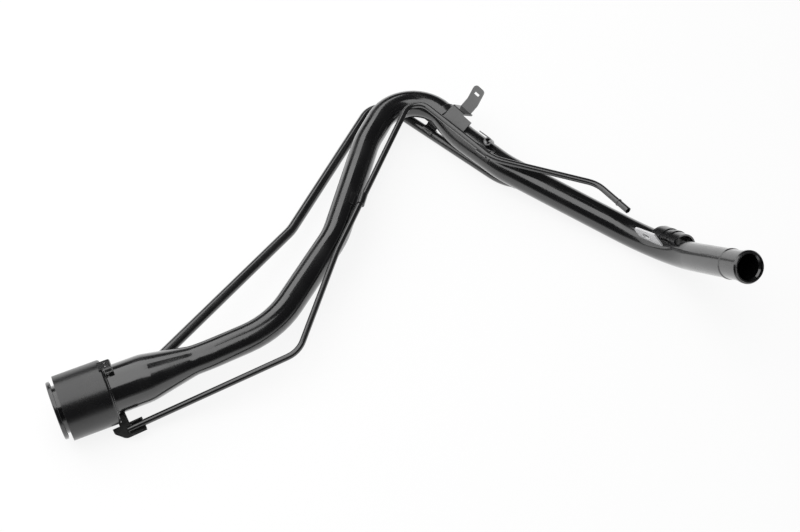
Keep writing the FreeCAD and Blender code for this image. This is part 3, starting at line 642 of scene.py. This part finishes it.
@dataclass
class PipeAssembly:
    """Filler pipe and vent pipe with the welds at the vent pipe's ends.

    Each near point is on the vent pipe's axis, clear of the filler pipe, and each far point is on
    that axis inside the filler pipe. weld_proud is a share of the weld's radius.
    """

    vent_radius: float = 5.25 * MM
    weld_radius: float = 0.9 * MM
    weld_proud: float = 0.3
    weld_points: int = 96
    low_near: Point = (-0.1712, -0.0530, 0.0262)
    low_far: Point = (-0.2313, -0.1359, 0.0342)
    high_near: Point = (0.1069, 0.1032, 0.00525)
    high_far: Point = (0.1264, 0.0903, 0.0200)

    def joint(self, name: str, near: Point, far: Point, pipe: Surface) -> bpy.types.Object:
        """Bead round the vent pipe where rays along its wall meet the filler pipe.

        Args:
            name: the bead's name.
            near: where the rays start from.
            far: where they point.
            pipe: the filler pipe's surface.

        Returns:
            The bead's object.
        """
        along = unit(np.array(far) - np.array(near))
        reach = self.vent_radius + self.weld_radius * self.weld_proud
        starts = circle(np.array(near), along, reach, self.weld_points)
        path = np.array([pipe.hit(start, along) for start in starts])
        return Bead(self.weld_radius).make(name, path)

    def build(self, shop: Paintshop) -> None:
        """Dresses the pipes and adds the welds.

        Args:
            shop: where the finishes come from.
        """
        shop.dress_node("main_pipe", Slot.PIPE)
        shop.dress_node("vent_pipe", Slot.VENT)
        shop.dress_node("breather_tube", Slot.TUBE)
        pipe = Surface("main_pipe")
        for end, near, far in (("low", self.low_near, self.low_far),
                               ("high", self.high_near, self.high_far)):
            shop.dress_piece(self.joint(f"vent_weld_{end}", near, far, pipe), Slot.PIPE)


@dataclass
class Fixings:
    """Clips, brackets and the short welds along the lower bracket's feet."""

    weld_radius: float = 0.8 * MM
    seams: dict[str, tuple[Point, Point]] = field(default_factory=lambda: {
        "saddle_weld_front": ((0.2680, 0.0135, 0.0147), (0.2785, 0.0019, 0.0226)),
        "saddle_weld_back": ((0.2500, 0.0105, 0.0343), (0.2605, -0.0011, 0.0422)),
        "lug_weld": ((0.2429, 0.0121, 0.0269), (0.2526, 0.0014, 0.0341))})

    def welds(self, shop: Paintshop) -> None:
        """Lays the short beads on the filler pipe.

        Args:
            shop: where the finishes come from.
        """
        pipe = Surface("main_pipe")
        bead = Bead(self.weld_radius, closed=False)
        for name, (start, end) in self.seams.items():
            shop.dress_piece(bead.make(name, pipe.lay(start, end)), Slot.PIPE)

    def build(self, shop: Paintshop) -> None:
        """Dresses the clips and brackets and adds the short welds.

        Args:
            shop: where the finishes come from.
        """
        for node in ("mid_clip", "vent_clip", "hook_clip", "hanger_band"):
            shop.dress_node(node, Slot.CLIP)
        for node in ("breather_holder", "hanger"):
            shop.dress_node(node, Slot.BRACKET)
        shop.dress_node("tube_hook", Slot.FITTING)
        shop.dress_node("lower_saddle", Slot.SADDLE)
        shop.dress_node("lower_lug", Slot.LUG)
        self.welds(shop)


@dataclass(frozen=True)
class Lamp:
    """A soft lamp: place, target, width and height in metres, and power in watts."""

    name: str
    place: Point
    target: Point
    size: tuple[float, float]
    watts: float


def grey(level: float) -> Colour:
    """Neutral colour of one level."""
    return (level, level, level)


@dataclass
class Studio:
    """Pale floor, soft lamps and the camera.

    view_height is in degrees above the ground; lens and sensor are in millimetres. The room is
    what the paint mirrors: dim overhead, with a bright band at the horizon.
    """

    floor_size: float = 6.0
    floor_drop: float = 0.0004
    floor_level: float = 0.86
    floor_glow: float = 0.86
    room_dim: float = 0.03
    room_bright: float = 0.35
    room_band: Step = (0.2, 0.0)
    even_level: float = 0.5
    view_height: float = 55.0
    distance: float = 1.5
    lens: float = 67.5
    sensor: float = 36.0
    aim: Point = (-0.0011, 0.0008, 0.0)
    lamps: tuple[Lamp, ...] = (
        Lamp("roof", (-0.75, 0.7, 1.15), (-0.75, 0.7, 0.0), (1.4, 2.6), 21.5),
        Lamp("roof_front", (0.17, -0.22, 1.15), (0.17, -0.22, 0.0), (0.45, 0.75), 2.0),
        Lamp("left_wall", (-1.9, 0.5, 0.7), (0.0, 0.5, 0.7), (2.4, 1.4), 13.5))

    def floor(self) -> None:
        """White floor that keeps the object's shadow and shows as white."""
        half = self.floor_size / 2
        points = np.array([[x, y, -self.floor_drop] for x, y in
                           ((-half, -half), (half, -half), (half, half), (-half, half))])
        floor = mesh_piece("floor", points, [[0, 1, 2, 3]])
        material = bpy.data.materials.new("floor_white")
        material.use_nodes = True
        g = Graph(material.node_tree)
        nodes = material.node_tree.nodes
        nodes.remove(nodes["Principled BSDF"])
        matt = g.add("ShaderNodeBsdfDiffuse", Color=(*grey(self.floor_level), 1.0))
        glow = g.add("ShaderNodeEmission", Color=(*WHITE, 1.0), Strength=1.0)
        path = g.add("ShaderNodeLightPath")
        seen = g.maths("MAXIMUM", path.outputs["Is Camera Ray"], path.outputs["Is Glossy Ray"])
        mix = g.add("ShaderNodeMixShader")
        g.feed(g.maths("MULTIPLY", seen, self.floor_glow), mix.inputs[0])
        g.feed(matt.outputs[0], mix.inputs[1])
        g.feed(glow.outputs[0], mix.inputs[2])
        g.feed(mix.outputs[0], nodes["Material Output"].inputs["Surface"])
        floor.data.materials.append(material)

    def sky(self) -> None:
        """World: white to the camera, the room to the paint, and even light otherwise."""
        world = bpy.data.worlds.new("studio")
        world.use_nodes = True
        bpy.context.scene.world = world
        g = Graph(world.node_tree)
        path = g.add("ShaderNodeLightPath")
        place = g.add("ShaderNodeTexCoord")
        split = g.add("ShaderNodeSeparateXYZ")
        g.feed(place.outputs["Generated"], split.inputs[0])
        low = g.ramp(split.outputs["Z"], self.room_band)
        room = g.mix(low, grey(self.room_dim), grey(self.room_bright))
        lit = g.mix(path.outputs["Is Glossy Ray"], grey(self.even_level), room)
        seen = g.mix(path.outputs["Is Camera Ray"], lit, WHITE)
        g.feed(seen, world.node_tree.nodes["Background"].inputs["Color"])

    def hang(self, lamp: Lamp) -> None:
        """Adds one lamp.

        Args:
            lamp: its numbers.
        """
        light = bpy.data.lights.new(lamp.name, "AREA")
        light.shape = "RECTANGLE"
        light.size, light.size_y = lamp.size
        light.energy = lamp.watts
        hung = bpy.data.objects.new(lamp.name, light)
        hung.location = lamp.place
        hung.rotation_mode = "QUATERNION"
        aim = Vector(lamp.target) - Vector(lamp.place)
        hung.rotation_quaternion = aim.to_track_quat("-Z", "Y")
        bpy.context.scene.collection.objects.link(hung)

    def camera(self) -> None:
        """Camera that looks down at view_height degrees from distance metres."""
        angle = math.radians(self.view_height)
        back = Vector((0.0, -math.cos(angle), math.sin(angle)))
        right = Vector((1.0, 0.0, 0.0))
        lens = bpy.data.cameras.new("camera")
        lens.lens = self.lens
        lens.sensor_width = self.sensor
        camera = bpy.data.objects.new("camera", lens)
        camera.location = Vector(self.aim) + back * self.distance
        camera.rotation_mode = "QUATERNION"
        turn = Matrix((right, back.cross(right), back)).transposed()
        camera.rotation_quaternion = turn.to_quaternion()
        bpy.context.scene.collection.objects.link(camera)
        bpy.context.scene.camera = camera

    def build(self) -> None:
        """Sets up the whole studio."""
        self.floor()
        self.sky()
        for lamp in self.lamps:
            self.hang(lamp)
        self.camera()
        bpy.context.scene.view_settings.view_transform = "Standard"


def main() -> None:
    """Builds every sub-assembly in order, then the studio."""
    logging.basicConfig(level=logging.INFO, format="%(message)s")
    shop = Paintshop()
    for assembly in (NeckAssembly(), PipeAssembly(), Fixings()):
        assembly.build(shop)
        log.info("%s done", type(assembly).__name__)
    Studio().build()


if __name__ == "__main__":
    main()
